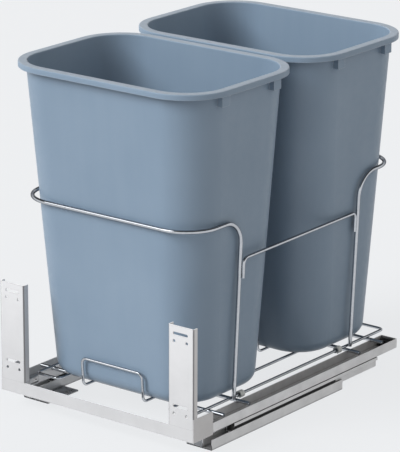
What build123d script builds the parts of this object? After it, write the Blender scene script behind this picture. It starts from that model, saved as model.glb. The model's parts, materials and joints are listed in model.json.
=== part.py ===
from build123d import *
from math import hypot
import os

# Double pull-out waste bin unit for a base cabinet: two bins stand one behind the other in a
# welded wire cradle, which rides on a pair of telescopic floor slides and carries a door bracket.
# Modelled with x across the cabinet, y back from the face of the door bracket and z up from
# the cabinet floor. Everything is exported moved half the depth forwards, so that the origin
# is under the middle of the unit.

# Overall height, from the cabinet floor to the rims of the bins
unit_height = 532.5

# Door bracket, folded sheet
bracket_width = 365
bracket_sheet = 1.5
upright_width = 46
upright_top = 198
outer_flange = 9
inner_flange = 10.5
strip_bottom = 26
strip_height = 19.3
side_plate_depth = 46
side_plate_top = 61.5
fold_radius = 2.2
slot_from_edge = 24
slot_length = 26.5
slot_height = 4.5
top_slot_below_top = 12
slot_pitch = 110
bracket_hole_diameter = 4.6
bracket_hole_spacing = 23
bracket_holes_below_slot = 11.5
tab_width = 13
tab_length = 68
tab_from_channel_web = 9.5
tab_hole_diameter = 4.6
tab_hole_from_front = 56.5

# Floor rail: the fixed member of each slide, a trough open at the top, with two feet
rail_inset = 1
rail_width = 18
rail_height = 16.5
rail_wall = 1.5
rail_front = 47
rail_length = 326
foot_length = 72
foot_reach = 30
foot_hole_diameter = 4.6
foot_hole_spacing = 10
foot_hole_from_edge = 8
foot_hole_from_rear = 9.5

# Middle rail: a hat section, open at the top, that runs inside the floor rail
middle_front = 100
middle_length = 366
middle_wall = 1.2
middle_trough_width = 12.6
middle_base_height = 11.2
middle_inset = 0.5
middle_lip_bottom = 22.1
slide_gap = 0.3

# Ball cage between the floor rail and the middle rail, and the buffer on the middle rail's nose
cage_front = 104
cage_length = 253
cage_floor = 1.2
buffer_length = 6
buffer_height = 9

# Channel: the moving member of each slide, which carries the cradle, and its runner
channel_width = 29
channel_bottom = 27
channel_height = 16
channel_wall = 1.2
channel_fold = 3
channel_front = 8
channel_rear = 517.5
inner_web_front = 49
runner_width = 4.8
runner_front = 104
runner_length = 356
stop_block_width = 19
stop_block_length = 12
stop_block_height = 11
stop_block_round = 1
stop_block_from_rear = 1

# Wire cradle, welded
cross_rod_diameter = 5.8
cross_rod_centre = 43.5
cross_rod_end_gap = 4.8
cross_rod_chamfer = 0.5
first_rod_row = 82
second_rod_row = 143
third_rod_row = 425
fourth_rod_row = 487
weld_gap = 0.05
loop_wire_diameter = 4.3
loop_from_channel = 4.5
loop_width = 43.5
loop_front = 40
loop_rear = 528
loop_corner = 8
hoop_wire_diameter = 6
hoop_height = 327
hoop_side_clearance = 2
front_hoop_clearance = 3.2
rear_hoop_clearance = 0.5
hoop_corner = 56
post_bend = 38
front_post_row = 134
rear_post_row = 430
side_rod_diameter = 5
side_rod_height = 267
side_rod_tail = 30
side_rod_bend = 9
side_rod_front_offset = 4.4
side_rod_rear_offset = 0
stop_wire_diameter = 4
stop_height = 93
stop_leg_spacing = 114
stop_corner = 9
stop_clearance = 3.8
stop_foot_overhang = 6
clip_diameter = 11
clip_length = 9
clip_mouth_diameter = 7.6
clip_mouth_depth = 3
front_clip_from_rod = 14
rear_clip_from_rod = 20
clip_slit = 3

# Bins, moulded plastic tubs with a turned-down rim
rim_past_bracket = 1.5
bin_depth = 270
bin_corner = 76
bin_pitch = 280
bin_front_gap = 2
bin_wall = 2.5
rim_overhang = 12
rim_skirt = 8.4
rim_round = 2
mouth_round = 1.6
bin_side_taper = 28
bin_front_taper = 33
bin_rear_taper = 23
bin_foot_corner = 61
bin_foot_round = 20
rest_gap = 0.3
gusset_near = 52
gusset_width = 17
gusset_drop = 16
gusset_reach = 8

# Levels and places that follow from the sizes above
bracket_half = bracket_width / 2
bin_width = bracket_width + 2 * rim_past_bracket
strip_top = strip_bottom + strip_height
unit_depth = bin_front_gap + bin_pitch + bin_depth
channel_outer = bracket_half - bracket_sheet
rail_outer = channel_outer - rail_inset
rail_inner = rail_outer - rail_width
slide_axis = rail_outer - rail_width / 2
middle_outer = channel_outer - middle_inset
middle_top = channel_bottom - slide_gap
channel_inner = channel_outer - channel_width
channel_floor = channel_bottom + channel_wall
channel_top = channel_bottom + channel_height
tab_centre = channel_outer - channel_wall - tab_from_channel_web - tab_width / 2
cross_rod_rows = (first_rod_row, second_rod_row, third_rod_row, fourth_rod_row)
cross_rod_half_length = channel_outer - channel_wall - cross_rod_end_gap
cross_rod_top = cross_rod_centre + cross_rod_diameter / 2
loop_outer_rod = channel_inner - loop_from_channel
loop_inner_rod = loop_outer_rod - loop_width
loop_height = cross_rod_top + loop_wire_diameter / 2 + weld_gap
bin_bottom = loop_height + loop_wire_diameter / 2 + rest_gap
stop_foot_height = cross_rod_top + stop_wire_diameter / 2 + weld_gap
post_foot_x = loop_outer_rod + loop_wire_diameter / 2 + hoop_wire_diameter / 2 + weld_gap
front_bin_centre = bin_front_gap + bin_depth / 2
rear_bin_centre = front_bin_centre + bin_pitch
body_width = bin_width - 2 * rim_overhang
body_depth = bin_depth - 2 * rim_overhang
body_corner = bin_corner - rim_overhang
body_top = unit_height - rim_skirt
bin_foot_width = body_width - 2 * bin_side_taper
bin_foot_depth = body_depth - bin_front_taper - bin_rear_taper
bin_foot_setback = (bin_front_taper - bin_rear_taper) / 2


def block(x0, x1, y0, y1, z0, z1):
    """A box between two opposite corners."""
    return Pos((x0 + x1) / 2, (y0 + y1) / 2, (z0 + z1) / 2) * Box(x1 - x0, y1 - y0, z1 - z0)


def other_side(shape):
    """The left-hand twin of a right-hand piece."""
    return mirror(shape, about=Plane.YZ)


def drill(x, y, z, diameter, depth, axis="z"):
    """A cylinder centred on a point, along y or z."""
    turn = Rot(90, 0, 0) if axis == "y" else Rot(0, 0, 0)
    return Pos(x, y, z) * turn * Cylinder(diameter / 2, depth)


def rounded_path(points, radii):
    """A wire through the points, with an arc of the given radius at each inner corner."""
    edges = []
    start = Vector(*points[0])
    for corner, after, radius in zip(points[1:-1], points[2:], radii):
        corner = Vector(*corner)
        inward = (start - corner).normalized()
        outward = (Vector(*after) - corner).normalized()
        half_angle_cos = hypot(*(inward + outward)) / 2
        half_angle_sin = hypot(*(inward - outward)) / 2
        reach = radius * half_angle_cos / half_angle_sin
        towards_centre = (inward + outward).normalized()
        arc_start = corner + inward * reach
        arc_end = corner + outward * reach
        arc_middle = corner + towards_centre * (radius / half_angle_sin - radius)
        edges.append(Line(start, arc_start))
        edges.append(ThreePointArc(arc_start, arc_middle, arc_end))
        start = arc_end
    edges.append(Line(start, Vector(*points[-1])))
    return Wire(edges)


def bent_wire(points, radii, diameter):
    """Round wire of the given diameter, bent along the points."""
    path = rounded_path(points, radii)
    section = Plane(origin=path @ 0, z_dir=path % 0) * Circle(diameter / 2)
    return sweep(section, path=path)


def at_height(low, high, z, z_low, z_high):
    """A size that runs evenly from low to high between two levels."""
    return low + (high - low) * (z - z_low) / (z_high - z_low)


def bin_half_width(z):
    return at_height(bin_foot_width, body_width, z, bin_bottom, body_top) / 2


def bin_half_depth(z):
    return at_height(bin_foot_depth, body_depth, z, bin_bottom, body_top) / 2


def bin_setback(z):
    """How far the bin body is centred behind its rim, because its front slopes more than its back."""
    return at_height(bin_foot_setback, 0, z, bin_bottom, body_top)


def bin_face(bin_centre, outward, z):
    """Row of the front (outward -1) or rear (outward 1) face of a bin."""
    return bin_centre + bin_setback(z) + outward * bin_half_depth(z)


# Where the two sides of both hoops run, either side of the bins
hoop_side_x = bin_half_width(hoop_height) + hoop_side_clearance + hoop_wire_diameter / 2


# Door bracket

def upright():
    """Right-hand upright: front plate with a flange folded back on each edge and a side plate."""
    outer = bracket_half
    inner = bracket_half - upright_width
    body = block(inner, outer, 0, bracket_sheet, strip_top, upright_top)
    body = body + block(inner, inner + bracket_sheet, 0, inner_flange, strip_top, upright_top)
    body = body + block(outer - bracket_sheet, outer, 0, outer_flange, strip_top, upright_top)
    body = fillet(body.edges().filter_by(Axis.Z).group_by(Axis.Y)[0], fold_radius)
    plate = block(outer - bracket_sheet, outer, 0, side_plate_depth, strip_bottom, side_plate_top)
    plate = fillet(plate.edges().filter_by(Axis.X).group_by(Axis.Y)[-1], fold_radius)
    body = body + plate
    slot_x = outer - slot_from_edge
    for slot_z in (upright_top - top_slot_below_top, upright_top - top_slot_below_top - slot_pitch):
        slot = Pos(slot_x, 0, slot_z) * Rot(90, 0, 0) * extrude(
            SlotOverall(slot_length, slot_height), outer_flange, both=True
        )
        body = body - slot
        for side in (-1, 1):
            hole_x = slot_x + side * bracket_hole_spacing / 2
            hole_z = slot_z - bracket_holes_below_slot
            body = body - drill(hole_x, 0, hole_z, bracket_hole_diameter, outer_flange, "y")
    return body


def cross_strip():
    """Strip across the bottom of the bracket, with a tab lying on the floor of each channel."""
    half = bracket_half - bracket_sheet
    strip = block(-half, half, 0, bracket_sheet, strip_bottom, strip_top)
    for side in (-1, 1):
        tab_x = side * tab_centre
        tab = block(
            tab_x - tab_width / 2, tab_x + tab_width / 2,
            bracket_sheet, tab_length,
            channel_floor, channel_floor + bracket_sheet,
        )
        hole = drill(tab_x, tab_hole_from_front, channel_floor, tab_hole_diameter, 4 * bracket_sheet)
        strip = strip + tab - hole
    return strip


# Slides, right-hand side

def floor_rail():
    """Fixed trough with two feet that reach inwards along the cabinet floor."""
    rail_rear = rail_front + rail_length
    rail = block(rail_inner, rail_outer, rail_front, rail_rear, 0, rail_height)
    rail = fillet(rail.edges().filter_by(Axis.Y).group_by(Axis.Z)[0], rail_wall)
    rail = rail - block(
        rail_inner + rail_wall, rail_outer - rail_wall,
        rail_front, rail_rear,
        rail_wall, rail_height,
    )
    foot_inner = rail_inner - foot_reach
    hole_x = foot_inner + foot_hole_from_edge
    for foot_front in (rail_front, rail_rear - foot_length):
        foot = block(
            foot_inner, rail_inner + rail_wall,
            foot_front, foot_front + foot_length,
            0, rail_wall,
        )
        foot = fillet(foot.edges().filter_by(Axis.Z).group_by(Axis.X)[0], fold_radius)
        rail = rail + foot
        last_hole_y = foot_front + foot_length - foot_hole_from_rear
        for hole_y in (last_hole_y, last_hole_y - foot_hole_spacing):
            rail = rail - drill(hole_x, hole_y, 0, foot_hole_diameter, 4 * rail_wall)
    return rail


def middle_rail():
    """Hat section: a narrow trough with a flange and a down-turned lip on each side."""
    rear = middle_front + middle_length
    half_trough = middle_trough_width / 2
    flange_reach = middle_outer - slide_axis
    trough = block(-half_trough, half_trough, middle_front, rear, middle_base_height, middle_top)
    trough = trough - block(
        middle_wall - half_trough, half_trough - middle_wall,
        middle_front, rear,
        middle_base_height + middle_wall, middle_top,
    )
    section = trough
    for side in (-1, 1):
        near, far = sorted((side * half_trough, side * flange_reach))
        section = section + block(near, far, middle_front, rear, middle_top - middle_wall, middle_top)
        near, far = sorted((side * (flange_reach - middle_wall), side * flange_reach))
        section = section + block(near, far, middle_front, rear, middle_lip_bottom, middle_top)
    return Pos(slide_axis, 0, 0) * section


def ball_cage():
    """U-shaped plastic cage that wraps the trough of the middle rail inside the floor rail."""
    rear = cage_front + cage_length
    half = rail_width / 2 - rail_wall - slide_gap
    half_trough = middle_trough_width / 2
    bottom = rail_wall + slide_gap
    top = middle_lip_bottom - slide_gap
    cage = block(-half, half, cage_front, rear, bottom, top)
    cage = cage - block(-half_trough, half_trough, cage_front, rear, bottom + cage_floor, top)
    return Pos(slide_axis, 0, 0) * cage


def stop_buffer():
    """Rubber buffer on the nose of the middle rail, just outboard of where the runner passes."""
    return block(
        slide_axis + runner_width / 2 + slide_gap, middle_outer - middle_wall,
        middle_front - buffer_length, middle_front,
        middle_top - buffer_height, middle_top,
    )


def channel():
    """Open-topped channel, closed at the rear, notched where the cross rods cross its inner web.

    The inner web is cut down to the fold at the front, over the tab of the door bracket.
    """
    trough = block(
        channel_inner, channel_outer, channel_front, channel_rear, channel_bottom, channel_top
    )
    trough = fillet(trough.edges().filter_by(Axis.Y).group_by(Axis.Z)[0], channel_fold)
    hollow = block(
        channel_inner + channel_wall, channel_outer - channel_wall,
        channel_front, channel_rear - channel_wall,
        channel_floor, channel_top,
    )
    hollow = fillet(hollow.edges().filter_by(Axis.Y).group_by(Axis.Z)[0], channel_fold - channel_wall)
    trough = trough - hollow
    trough = trough - block(
        channel_inner, channel_inner + channel_wall,
        channel_front, inner_web_front,
        channel_bottom + channel_fold, channel_top,
    )
    half_notch = cross_rod_diameter / 2 + slide_gap
    for row in cross_rod_rows:
        trough = trough - block(
            channel_inner, channel_inner + channel_wall,
            row - half_notch, row + half_notch,
            cross_rod_centre - cross_rod_diameter / 2, channel_top,
        )
    return trough - drill(
        tab_centre, tab_hole_from_front, channel_bottom, tab_hole_diameter, 4 * channel_wall
    )


def runner():
    """Inner slide member under the channel, which runs in the trough of the middle rail."""
    half = runner_width / 2
    return Pos(slide_axis, 0, 0) * block(
        -half, half,
        runner_front, runner_front + runner_length,
        middle_base_height + middle_wall + slide_gap, channel_bottom,
    )


def stop_block():
    """Plastic block on the channel floor near its closed rear end."""
    centre = (channel_inner + channel_outer) / 2
    rear = channel_rear - channel_wall - stop_block_from_rear
    body = block(
        centre - stop_block_width / 2, centre + stop_block_width / 2,
        rear - stop_block_length, rear,
        channel_floor, channel_floor + stop_block_height,
    )
    return fillet(body.edges().group_by(Axis.Z)[-1], stop_block_round)


# Wire cradle

def base_loop():
    """Right-hand wire loop that carries the bins, lying on the cross rods."""
    z = loop_height
    middle = (loop_outer_rod + loop_inner_rod) / 2
    corners = [
        (middle, loop_front, z),
        (loop_outer_rod, loop_front, z),
        (loop_outer_rod, loop_rear, z),
        (loop_inner_rod, loop_rear, z),
        (loop_inner_rod, loop_front, z),
        (middle, loop_front, z),
    ]
    return bent_wire(corners, [loop_corner] * 4, loop_wire_diameter)


def cross_rod(row):
    """Straight rod from channel to channel."""
    rod = Cylinder(cross_rod_diameter / 2, 2 * cross_rod_half_length)
    rod = chamfer(rod.edges(), cross_rod_chamfer)
    return Pos(0, row, cross_rod_centre) * Rot(0, 90, 0) * rod


def bin_hoop(post_row, bin_centre, outward, clearance):
    """Wire that rises from both loops, turns level and goes round the outer face of a bin."""
    clear = clearance + hoop_wire_diameter / 2
    face_y = bin_face(bin_centre, outward, hoop_height) + outward * clear
    route = [
        (post_foot_x, post_row, loop_height),
        (hoop_side_x, post_row, hoop_height),
        (hoop_side_x, face_y, hoop_height),
        (-hoop_side_x, face_y, hoop_height),
        (-hoop_side_x, post_row, hoop_height),
        (-post_foot_x, post_row, loop_height),
    ]
    radii = [post_bend, hoop_corner, hoop_corner, post_bend]
    return bent_wire(route, radii, hoop_wire_diameter)


def side_rod():
    """Right-hand rod between the posts, with both ends bent down along them."""
    touch = (hoop_wire_diameter + side_rod_diameter) / 2 + weld_gap
    lean = (hoop_side_x - post_foot_x) / (hoop_height - loop_height)
    post_x = post_foot_x + lean * (side_rod_height - loop_height)
    tail_bottom = side_rod_height - side_rod_tail
    front_y = front_post_row + (touch ** 2 - side_rod_front_offset ** 2) ** 0.5
    rear_y = rear_post_row - (touch ** 2 - side_rod_rear_offset ** 2) ** 0.5
    front_x = post_x + side_rod_front_offset
    rear_x = post_x + side_rod_rear_offset
    route = [
        (front_x - lean * side_rod_tail, front_y, tail_bottom),
        (front_x, front_y, side_rod_height),
        (rear_x, rear_y, side_rod_height),
        (rear_x - lean * side_rod_tail, rear_y, tail_bottom),
    ]
    return bent_wire(route, [side_rod_bend] * 2, side_rod_diameter)


def bin_stop(bin_centre, outward, foot_row):
    """Low wire arch against the foot of a bin; its feet run under the bin onto a cross rod."""
    half = stop_leg_spacing / 2
    clear = stop_clearance + stop_wire_diameter / 2
    low_y = bin_face(bin_centre, outward, stop_foot_height) + outward * clear
    high_y = bin_face(bin_centre, outward, stop_height) + outward * clear
    foot_y = foot_row - outward * stop_foot_overhang
    route = [
        (half, foot_y, stop_foot_height),
        (half, low_y, stop_foot_height),
        (half, high_y, stop_height),
        (-half, high_y, stop_height),
        (-half, low_y, stop_foot_height),
        (-half, foot_y, stop_foot_height),
    ]
    return bent_wire(route, [stop_corner] * 4, stop_wire_diameter)


def rod_clip(centre):
    """Slit sleeve clipped round the outer rod of the right-hand loop, with a wider mouth in front."""
    outer = drill(0, 0, 0, clip_diameter, clip_length, "y")
    bore = drill(0, 0, 0, loop_wire_diameter + 2 * weld_gap, clip_length, "y")
    mouth_row = (clip_mouth_depth - clip_length) / 2
    mouth = drill(0, mouth_row, 0, clip_mouth_diameter, clip_mouth_depth, "y")
    slit = Pos(0, 0, -clip_diameter / 2) * Box(clip_slit, clip_length, clip_diameter)
    return Pos(loop_outer_rod, centre, loop_height) * (outer - bore - mouth - slit)


# Bins

def tub(inset, bottom, top):
    """Tapered solid with rounded corners, set in evenly from the outside of the bin body."""
    sections = []
    for z in (bottom, top):
        width = 2 * (bin_half_width(z) - inset)
        depth = 2 * (bin_half_depth(z) - inset)
        corner = at_height(bin_foot_corner, body_corner, z, bin_bottom, body_top) - inset
        sections.append(Pos(0, bin_setback(z), z) * RectangleRounded(width, depth, corner))
    body = loft(sections, ruled=True)
    return fillet(body.faces().sort_by(Axis.Z)[0].edges(), bin_foot_round - inset)


def rim_layer(inset, bottom, top):
    """Flat layer with the outline of the rim, set in by a given amount."""
    outline = RectangleRounded(bin_width - 2 * inset, bin_depth - 2 * inset, bin_corner - inset)
    return Pos(0, 0, bottom) * extrude(outline, top - bottom)


def gusset(side_x, side_y):
    """Box-shaped stiffener under the rim on a short side."""
    near = side_y * gusset_near
    far = side_y * (gusset_near + gusset_width)
    bottom = body_top - gusset_drop
    wall = bin_half_width(bottom) - bin_wall
    tip = body_width / 2 + gusset_reach
    y0, y1 = sorted((near, far))
    x0, x1 = sorted((side_x * wall, side_x * tip))
    return block(x0, x1, y0, y1, bottom, unit_height - bin_wall)


def waste_bin(centre):
    """Hollow tub with a flat rim, a turned-down skirt and four stiffeners under the rim."""
    rim_under = unit_height - bin_wall
    shell = tub(0, bin_bottom, rim_under)
    rim = rim_layer(0, body_top, unit_height)
    rim = fillet(rim.edges().group_by(Axis.Z)[-1], rim_round)
    rim = rim - rim_layer(bin_wall, body_top, rim_under)
    shell = shell + rim
    for side_x in (-1, 1):
        for side_y in (-1, 1):
            shell = shell + gusset(side_x, side_y)
    shell = shell - tub(bin_wall, bin_bottom + bin_wall, unit_height)
    mouth = shell.faces().sort_by(Axis.Z)[-1].inner_wires()[0]
    shell = fillet(mouth.edges(), mouth_round)
    return Pos(0, centre, 0) * shell


# Export

nodes = {}
right_pieces = {
    "floor_rail": floor_rail(),
    "middle_rail": middle_rail(),
    "ball_cage": ball_cage(),
    "stop_buffer": stop_buffer(),
    "channel": channel(),
    "runner": runner(),
    "stop_block": stop_block(),
    "upright": upright(),
    "base_loop": base_loop(),
    "side_rod": side_rod(),
    "front_clip": rod_clip(second_rod_row + front_clip_from_rod),
    "rear_clip": rod_clip(third_rod_row - rear_clip_from_rod),
}
for name, piece in right_pieces.items():
    nodes["right_" + name] = piece
    nodes["left_" + name] = other_side(piece)
nodes["cross_strip"] = cross_strip()
for number, row in enumerate(cross_rod_rows, start=1):
    nodes["cross_rod_" + str(number)] = cross_rod(row)
nodes["front_hoop"] = bin_hoop(front_post_row, front_bin_centre, -1, front_hoop_clearance)
nodes["rear_hoop"] = bin_hoop(rear_post_row, rear_bin_centre, 1, rear_hoop_clearance)
nodes["front_bin_front_stop"] = bin_stop(front_bin_centre, -1, first_rod_row)
nodes["front_bin_rear_stop"] = bin_stop(front_bin_centre, 1, second_rod_row)
nodes["rear_bin_front_stop"] = bin_stop(rear_bin_centre, -1, third_rod_row)
nodes["rear_bin_rear_stop"] = bin_stop(rear_bin_centre, 1, fourth_rod_row)
nodes["front_bin"] = waste_bin(front_bin_centre)
nodes["rear_bin"] = waste_bin(rear_bin_centre)

os.makedirs("parts", exist_ok=True)
for name, piece in nodes.items():
    export_step(Pos(0, -unit_depth / 2, 0) * piece, "parts/" + name + ".step")
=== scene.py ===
import json
from math import cos, radians, sin

import bpy
from mathutils import Matrix, Vector

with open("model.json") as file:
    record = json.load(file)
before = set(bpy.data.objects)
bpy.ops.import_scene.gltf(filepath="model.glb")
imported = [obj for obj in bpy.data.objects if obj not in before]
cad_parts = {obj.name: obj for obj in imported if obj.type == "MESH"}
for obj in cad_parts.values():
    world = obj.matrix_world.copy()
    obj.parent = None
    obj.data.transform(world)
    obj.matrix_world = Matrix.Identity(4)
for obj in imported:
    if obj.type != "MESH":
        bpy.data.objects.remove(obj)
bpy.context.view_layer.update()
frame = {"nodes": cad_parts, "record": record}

# Camera, fitted to the photograph: angles in degrees, lengths in metres
image_width = 400
image_height = 452
camera_azimuth = 37.82
camera_elevation = 17.10
camera_roll = 0.16
camera_distance = 4.4516
camera_target = Vector((-0.0008, -0.0260, 0.2566))
camera_clip_end = 100
focal_length_pixels = 2953.6
sensor_size = 36.0

# Floor and backdrop
floor_size = 60.0
floor_drop = 0.0002
floor_colour = (0.56, 0.56, 0.57)
floor_mottle = 0.99
backdrop_colour = (0.899, 0.915, 0.933)
backdrop_share = 0.84

# Lights: directions point from the object to the light, spreads are in degrees
sky_light = (0.45, 0.435, 0.42)
key_from = Vector((-0.40, -0.75, 0.60))
key_spread = 36.0
key_strength = 3.30
key_colour = (0.97, 0.985, 1.0)
fill_from = Vector((0.80, 0.45, 0.40))
fill_spread = 60.0
fill_strength = 0.40
fill_colour = (1.0, 0.92, 0.84)
lamp_distance = 5.0

# What metal and gloss see: the key as a window, and a room that darkens with height
window_colour = (3.3, 3.35, 3.4)
window_blur = 4.0
room_pale_below = 0.32
room_dark_above = 0.46
room_ceiling_shade = 0.08

# Range over which most of a noise lies
noise_low = 0.3
noise_high = 0.7

black = (0.0, 0.0, 0.0)


# Shader nodes, for materials and the world alike

def feed(tree, value, socket):
    """Links a socket to another one, or sets it to a colour, a direction or a number."""
    if isinstance(value, bpy.types.NodeSocket):
        tree.links.new(value, socket)
    elif isinstance(value, tuple):
        socket.default_value = (*value, 1.0)
    else:
        socket.default_value = value


def mix_colours(tree, amount, first, second):
    """Mix of two colours by an amount from 0 to 1."""
    mix = tree.nodes.new("ShaderNodeMix")
    mix.data_type = "RGBA"
    for value, place in ((amount, 0), (first, 6), (second, 7)):
        feed(tree, value, mix.inputs[place])
    return mix.outputs[2]


def map_range(tree, source, start, end, low, high, smooth=False):
    """Goes from low to high while the source goes from start to end, and no further."""
    ranged = tree.nodes.new("ShaderNodeMapRange")
    if smooth:
        ranged.interpolation_type = "SMOOTHSTEP"
    limits = {"From Min": start, "From Max": end, "To Min": low, "To Max": high}
    for name, value in limits.items():
        ranged.inputs[name].default_value = value
    tree.links.new(source, ranged.inputs["Value"])
    return ranged.outputs["Result"]


def calculate(tree, operation, *terms):
    """Result of a sum on sockets or numbers."""
    made = tree.nodes.new("ShaderNodeMath")
    made.operation = operation
    for term, socket in zip(terms, made.inputs):
        feed(tree, term, socket)
    return made.outputs[0]


def dot_product(tree, first, second):
    made = tree.nodes.new("ShaderNodeVectorMath")
    made.operation = "DOT_PRODUCT"
    feed(tree, first, made.inputs[0])
    feed(tree, second, made.inputs[1])
    return made.outputs["Value"]


def axis_of(tree, vector, axis):
    """The x, y or z of a vector."""
    split = tree.nodes.new("ShaderNodeSeparateXYZ")
    tree.links.new(vector, split.inputs[0])
    return split.outputs[axis]


def seen_directly(tree):
    """1 for what the camera sees itself, in metal or through glass, 0 for light on the object."""
    rays = tree.nodes.new("ShaderNodeLightPath").outputs
    reflected = calculate(tree, "MAXIMUM", rays["Is Camera Ray"], rays["Is Glossy Ray"])
    return calculate(tree, "MAXIMUM", reflected, rays["Is Transmission Ray"])


# Material building

class Look:
    """A procedural material under construction. Lengths are in metres."""

    def __init__(self, name):
        self.material = bpy.data.materials.new(name)
        self.material.use_nodes = True
        self.tree = self.material.node_tree
        self.surface = self.tree.nodes["Principled BSDF"]
        coordinates = self.tree.nodes.new("ShaderNodeTexCoord")
        self.place = coordinates.outputs["Object"]
        self.facing = coordinates.outputs["Normal"]

    def set(self, name, value):
        """Sets a value that is the same all over the surface."""
        self.surface.inputs[name].default_value = value

    def drive(self, name, source):
        """Lets a texture set a value of the surface."""
        self.tree.links.new(source, self.surface.inputs[name])

    def noise(self, scale, detail=3.0, stretch=(1, 1, 1)):
        """Noise with features of about 1/scale, drawn out along an axis where stretch is small."""
        mapping = self.tree.nodes.new("ShaderNodeMapping")
        mapping.inputs["Scale"].default_value = stretch
        self.tree.links.new(self.place, mapping.inputs["Vector"])
        texture = self.tree.nodes.new("ShaderNodeTexNoise")
        for name, value in {"Scale": scale, "Detail": detail, "Roughness": 0.55}.items():
            texture.inputs[name].default_value = value
        self.tree.links.new(mapping.outputs["Vector"], texture.inputs["Vector"])
        return texture.outputs["Fac"]

    def vary(self, noise, low, high):
        """Spreads a noise over a range of values."""
        return map_range(self.tree, noise, noise_low, noise_high, low, high)

    def two_tone(self, noise, first, second):
        """Colour that drifts between two with a noise."""
        return mix_colours(self.tree, self.vary(noise, 0.0, 1.0), first, second)

    def stain(self, base, colour, mask, strength):
        """Base with the colour over it, as strongly as the strength where the mask is 1."""
        amount = map_range(self.tree, mask, 0.0, 1.0, 0.0, strength)
        return mix_colours(self.tree, amount, base, colour)

    def streak(self, base, colour, noise, strength):
        """Base with the colour over it, as strongly as the strength where the noise is high."""
        return mix_colours(self.tree, self.vary(noise, 0.0, strength), base, colour)

    def rounded_normal(self, radius):
        """Normal of the surface as if its edges had a radius."""
        rounded = self.tree.nodes.new("ShaderNodeBevel")
        rounded.samples = 4
        rounded.inputs["Radius"].default_value = radius
        return rounded.outputs["Normal"]

    def edges(self, radius):
        """1 on sharp edges, falling to 0 at the radius from them."""
        flat_normal = self.tree.nodes.new("ShaderNodeNewGeometry").outputs["Normal"]
        likeness = dot_product(self.tree, self.rounded_normal(radius), flat_normal)
        return map_range(self.tree, likeness, 5 / 6, 1.0, 1.0, 0.0)

    def crevice_shade_mask(self, reach):
        """1 where other surfaces close in within the reach, falling to 0 in the open."""
        occlusion = self.tree.nodes.new("ShaderNodeAmbientOcclusion")
        occlusion.samples = 8
        occlusion.inputs["Distance"].default_value = reach
        return map_range(self.tree, occlusion.outputs["AO"], 0.35, 0.85, 1.0, 0.0)

    def low_down(self, full_below, none_above):
        """1 close to the cabinet floor, falling to 0 at a height above it."""
        height = axis_of(self.tree, self.place, "Z")
        return map_range(self.tree, height, full_below, none_above, 1.0, 0.0)

    def upturned(self):
        """1 on faces that look up, 0 on upright ones."""
        return map_range(self.tree, axis_of(self.tree, self.facing, "Z"), 0.6, 0.9, 0.0, 1.0)

    def dark_fold_reflection_mask(self):
        """1 on the round of a fold between a face along x and a face along y, 0 on flat faces."""
        across = axis_of(self.tree, self.facing, "X")
        along = axis_of(self.tree, self.facing, "Y")
        turned = calculate(self.tree, "ABSOLUTE", calculate(self.tree, "MULTIPLY", across, along))
        return map_range(self.tree, turned, 0.08, 0.42, 0.0, 1.0)

    def foot_end_shade_mask(self):
        """1 on the cut ends across the slide close to the cabinet floor."""
        along = calculate(self.tree, "ABSOLUTE", axis_of(self.tree, self.facing, "Y"))
        ends = map_range(self.tree, along, 0.6, 0.9, 0.0, 1.0)
        return calculate(self.tree, "MULTIPLY", ends, self.low_down(0.006, 0.009))

    def relief(self, *layers, edge_radius=None):
        """Bumps from (noise, depth) layers, over edges rounded by a radius."""
        normal = self.rounded_normal(edge_radius) if edge_radius else None
        for noise, depth in layers:
            bump = self.tree.nodes.new("ShaderNodeBump")
            bump.inputs["Strength"].default_value = 1.0
            bump.inputs["Distance"].default_value = depth
            self.tree.links.new(noise, bump.inputs["Height"])
            if normal:
                self.tree.links.new(normal, bump.inputs["Normal"])
            normal = bump.outputs["Normal"]
        self.drive("Normal", normal)


def bin_plastic_look():
    """Blue-grey moulded plastic: faint flow marks, fine spark texture, a paler top as a painted sky
    sheen, pale edges as a painted highlight.
    """
    look = Look("bin_plastic_look")
    broad = look.noise(7.0, 2.0)
    flow = look.noise(55.0, stretch=(1, 1, 0.06))
    colour = look.two_tone(broad, (0.188, 0.258, 0.340), (0.208, 0.280, 0.364))
    colour = look.streak(colour, (0.26, 0.33, 0.41), flow, 0.10)
    # Painted light: faces that look up are paler, a painted sheen of the sky above.
    colour = look.stain(colour, (0.37, 0.41, 0.46), look.upturned(), 0.55)
    # Painted highlight: a pale line along the rounded edges.
    colour = look.stain(colour, (0.47, 0.52, 0.58), look.edges(0.0015), 0.6)
    look.drive("Base Color", colour)
    look.drive("Roughness", look.vary(look.noise(90.0, 4.0), 0.36, 0.50))
    look.set("Specular IOR Level", 0.45)
    spark_texture = (look.noise(1400.0, 2.0), 0.00006)
    waves = (look.noise(12.0, 1.0), 0.0006)
    look.relief(spark_texture, waves, edge_radius=0.0008)
    return look.material


def wire_look():
    """Bright chrome plating over drawn wire, darker where it turns away."""
    look = Look("wire_look")
    haze = look.noise(160.0, 4.0)
    look.set("Metallic", 1.0)
    look.drive("Base Color", look.two_tone(haze, (0.50, 0.52, 0.55), (0.58, 0.60, 0.63)))
    look.set("Specular Tint", (0.12, 0.12, 0.13, 1.0))
    look.drive("Roughness", look.vary(haze, 0.05, 0.11))
    look.relief((look.noise(700.0, 2.0), 0.00001))
    return look.material


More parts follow.
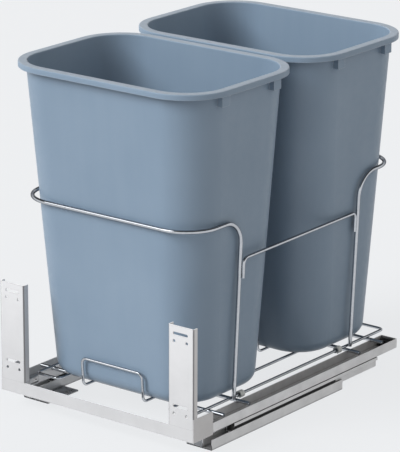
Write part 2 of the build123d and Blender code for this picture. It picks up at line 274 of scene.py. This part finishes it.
def slide_steel_look():
    """Zinc-plated sheet: rolled grain along the slide, painted shade in corners and recesses, pale
    edges as a painted highlight, painted shade on the foot ends.
    """
    look = Look("slide_steel_look")
    rolled = look.noise(900.0, 4.0, stretch=(1, 0.015, 1))
    cloudy = look.noise(38.0, 4.0)
    colour = look.two_tone(cloudy, (0.58, 0.585, 0.595), (0.70, 0.705, 0.715))
    colour = look.streak(colour, (0.78, 0.785, 0.79), rolled, 0.25)
    # Painted shade: near black where other surfaces close in, in corners and recesses.
    colour = look.stain(colour, (0.020, 0.020, 0.023), look.crevice_shade_mask(0.006), 0.97)
    # Painted highlight: a pale line along the sheet edges.
    colour = look.stain(colour, (0.95, 0.95, 0.95), look.edges(0.0006), 0.8)
    # Painted shade: the cut ends across the slide close to the floor are near black.
    colour = look.stain(colour, (0.030, 0.030, 0.033), look.foot_end_shade_mask(), 0.9)
    look.drive("Base Color", colour)
    look.set("Metallic", 0.50)
    look.drive("Roughness", look.vary(rolled, 0.38, 0.52))
    look.relief((rolled, 0.00001), edge_radius=0.0004)
    return look.material


def bracket_look():
    """Light grey satin paint on sheet, with painted shade low down, a painted dark reflection on
    folds and edges, and painted light on top faces.
    """
    look = Look("bracket_look")
    cloudy = look.noise(30.0)
    brushed = look.noise(1100.0, stretch=(0.03, 1, 1))
    # Painted shade: lit and shaded copies of the paint, the shaded one mixed in low down.
    low = look.two_tone(cloudy, (0.53, 0.532, 0.54), (0.57, 0.572, 0.58))
    high = look.two_tone(cloudy, (0.64, 0.642, 0.652), (0.68, 0.682, 0.692))
    colour = look.stain(high, low, look.low_down(0.04, 0.19), 1.0)
    # Painted reflection: the edges are darkened as if they mirrored something dark.
    colour = look.stain(colour, (0.34, 0.34, 0.35), look.edges(0.0007), 0.7)
    # Painted reflection: near black on the rounds of the upright folds.
    colour = look.stain(colour, (0.12, 0.12, 0.13), look.dark_fold_reflection_mask(), 0.85)
    # Painted light: faces that look up are near white.
    colour = look.stain(colour, (0.97, 0.97, 0.97), look.upturned(), 1.0)
    look.drive("Base Color", colour)
    look.set("Metallic", 0.08)
    look.set("Specular IOR Level", 0.5)
    look.drive("Roughness", look.vary(brushed, 0.30, 0.42))
    look.relief((brushed, 0.000006), edge_radius=0.0003)
    return look.material


def moulding_look(name, colour, roughness, grain_depth):
    """Moulded plastic, rubber, or steel made near black as painted shade, with a matt grain and
    dust on it.
    """
    look = Look(name)
    dusty = tuple(min(1.0, channel * 1.6 + 0.02) for channel in colour)
    look.drive("Base Color", look.streak(colour, dusty, look.noise(120.0, 4.0), 0.5))
    grain = look.noise(400.0, 2.0)
    look.drive("Roughness", look.vary(grain, roughness - 0.06, roughness + 0.06))
    look.set("Specular IOR Level", 0.25)
    look.relief((look.noise(1500.0, 2.0), grain_depth), edge_radius=0.0004)
    return look.material


def dress_cad_nodes():
    """Gives every CAD node the look of its material slot."""
    looks = {
        "bin_plastic": bin_plastic_look(),
        "wire": wire_look(),
        "slide_steel": slide_steel_look(),
        "bracket_steel": bracket_look(),
        # Painted shade: the runner is near black to stand in for the deep shade under the channel.
        "runner_steel": moulding_look("runner_shade_look", (0.030, 0.030, 0.032), 0.38, 0.00003),
        # Near-black plastic for the ball cages and stops; on the cages it also stands in for the
        # shade in the gaps between the rails.
        "black_plastic": moulding_look("black_plastic_gap_shade_look", (0.006, 0.006, 0.007), 0.60, 0.00005),
        "buffer_rubber": moulding_look("buffer_rubber_look", (0.008, 0.008, 0.008), 0.75, 0.00008),
        "clip_plastic": moulding_look("clip_plastic_look", (0.50, 0.53, 0.53), 0.35, 0.00004),
    }
    for part in frame["record"]["subparts"]:
        materials = frame["nodes"][part["node"]].data.materials
        materials.clear()
        materials.append(looks[part["material_slot"]])


# Studio and camera

def soft_light(name, direction, spread, strength, colour):
    """Broad even light from a direction, as wide in the sky as the spread."""
    light = bpy.data.lights.new(name, "SUN")
    light.angle = radians(spread)
    light.energy = strength
    light.color = colour
    lamp = bpy.data.objects.new(name, light)
    lamp.visible_glossy = False
    lamp.location = camera_target + direction.normalized() * lamp_distance
    lamp.rotation_euler = (-direction).to_track_quat("-Z", "Y").to_euler()
    bpy.context.scene.collection.objects.link(lamp)


def floor_look():
    """Matt pale sheet that glows by a share of its own for the camera, so that it stays even."""
    look = Look("studio_floor_look")
    paler = tuple(channel * floor_mottle for channel in floor_colour)
    look.drive("Base Color", mix_colours(look.tree, look.noise(3.0), floor_colour, paler))
    look.set("Roughness", 0.9)
    look.set("Specular IOR Level", 0.0)
    glow = look.tree.nodes.new("ShaderNodeEmission")
    feed(look.tree, backdrop_colour, glow.inputs["Color"])
    mixed = look.tree.nodes.new("ShaderNodeMixShader")
    share = calculate(look.tree, "MULTIPLY", seen_directly(look.tree), backdrop_share)
    for source, socket in zip((share, look.surface.outputs[0], glow.outputs[0]), mixed.inputs):
        look.tree.links.new(source, socket)
    output = look.tree.nodes["Material Output"]
    look.tree.links.new(mixed.outputs[0], output.inputs["Surface"])
    return look.material


def lay_floor():
    mesh = bpy.data.meshes.new("studio_floor")
    half = floor_size / 2
    corners = [(-half, -half, 0), (half, -half, 0), (half, half, 0), (-half, half, 0)]
    mesh.from_pydata(corners, [], [(0, 1, 2, 3)])
    mesh.materials.append(floor_look())
    floor = bpy.data.objects.new("studio_floor", mesh)
    floor.location = (0, 0, -floor_drop)
    bpy.context.scene.collection.objects.link(floor)


def light_studio():
    """Even sky over a pale backdrop, with a broad key and a weak fill.

    Metal and gloss see the backdrop too, darker towards the ceiling, and the key as a soft window.
    """
    world = bpy.data.worlds.new("studio_sky")
    world.use_nodes = True
    bpy.context.scene.world = world
    tree = world.node_tree
    direction = tree.nodes.new("ShaderNodeTexCoord").outputs["Generated"]
    height = axis_of(tree, direction, "Z")
    paleness = map_range(
        tree, height, room_pale_below, room_dark_above, 1.0, room_ceiling_shade, smooth=True
    )
    room = mix_colours(tree, paleness, black, backdrop_colour)
    near_key = dot_product(tree, direction, key_from.normalized())
    window_rim = cos(radians(key_spread / 2 + window_blur))
    window_core = cos(radians(key_spread / 2 - window_blur))
    window = map_range(tree, near_key, window_rim, window_core, 0.0, 1.0, smooth=True)
    reflected = mix_colours(tree, window, room, window_colour)
    camera_ray = tree.nodes.new("ShaderNodeLightPath").outputs["Is Camera Ray"]
    seen = mix_colours(tree, camera_ray, reflected, backdrop_colour)
    colour = mix_colours(tree, seen_directly(tree), sky_light, seen)
    tree.links.new(colour, tree.nodes["Background"].inputs["Color"])
    soft_light("key", key_from, key_spread, key_strength, key_colour)
    soft_light("fill", fill_from, fill_spread, fill_strength, fill_colour)


def place_camera():
    azimuth = radians(camera_azimuth)
    elevation = radians(camera_elevation)
    roll = radians(camera_roll)
    flat_back = Vector((sin(azimuth), -cos(azimuth), 0))
    back = flat_back * cos(elevation) + Vector((0, 0, sin(elevation)))
    level = Vector((cos(azimuth), sin(azimuth), 0))
    upright = back.cross(level)
    right = level * cos(roll) + upright * sin(roll)
    up = upright * cos(roll) - level * sin(roll)
    data = bpy.data.cameras.new("photo_camera")
    data.sensor_width = sensor_size
    data.lens = focal_length_pixels * sensor_size / max(image_width, image_height)
    data.clip_end = camera_clip_end
    camera = bpy.data.objects.new("photo_camera", data)
    turn = Matrix((right, up, back)).transposed().to_4x4()
    camera.matrix_world = Matrix.Translation(camera_target + back * camera_distance) @ turn
    bpy.context.scene.collection.objects.link(camera)
    bpy.context.scene.camera = camera


dress_cad_nodes()
lay_floor()
light_studio()
place_camera()
bpy.context.scene.view_settings.view_transform = "Standard"

bpy.context.view_layer.update()
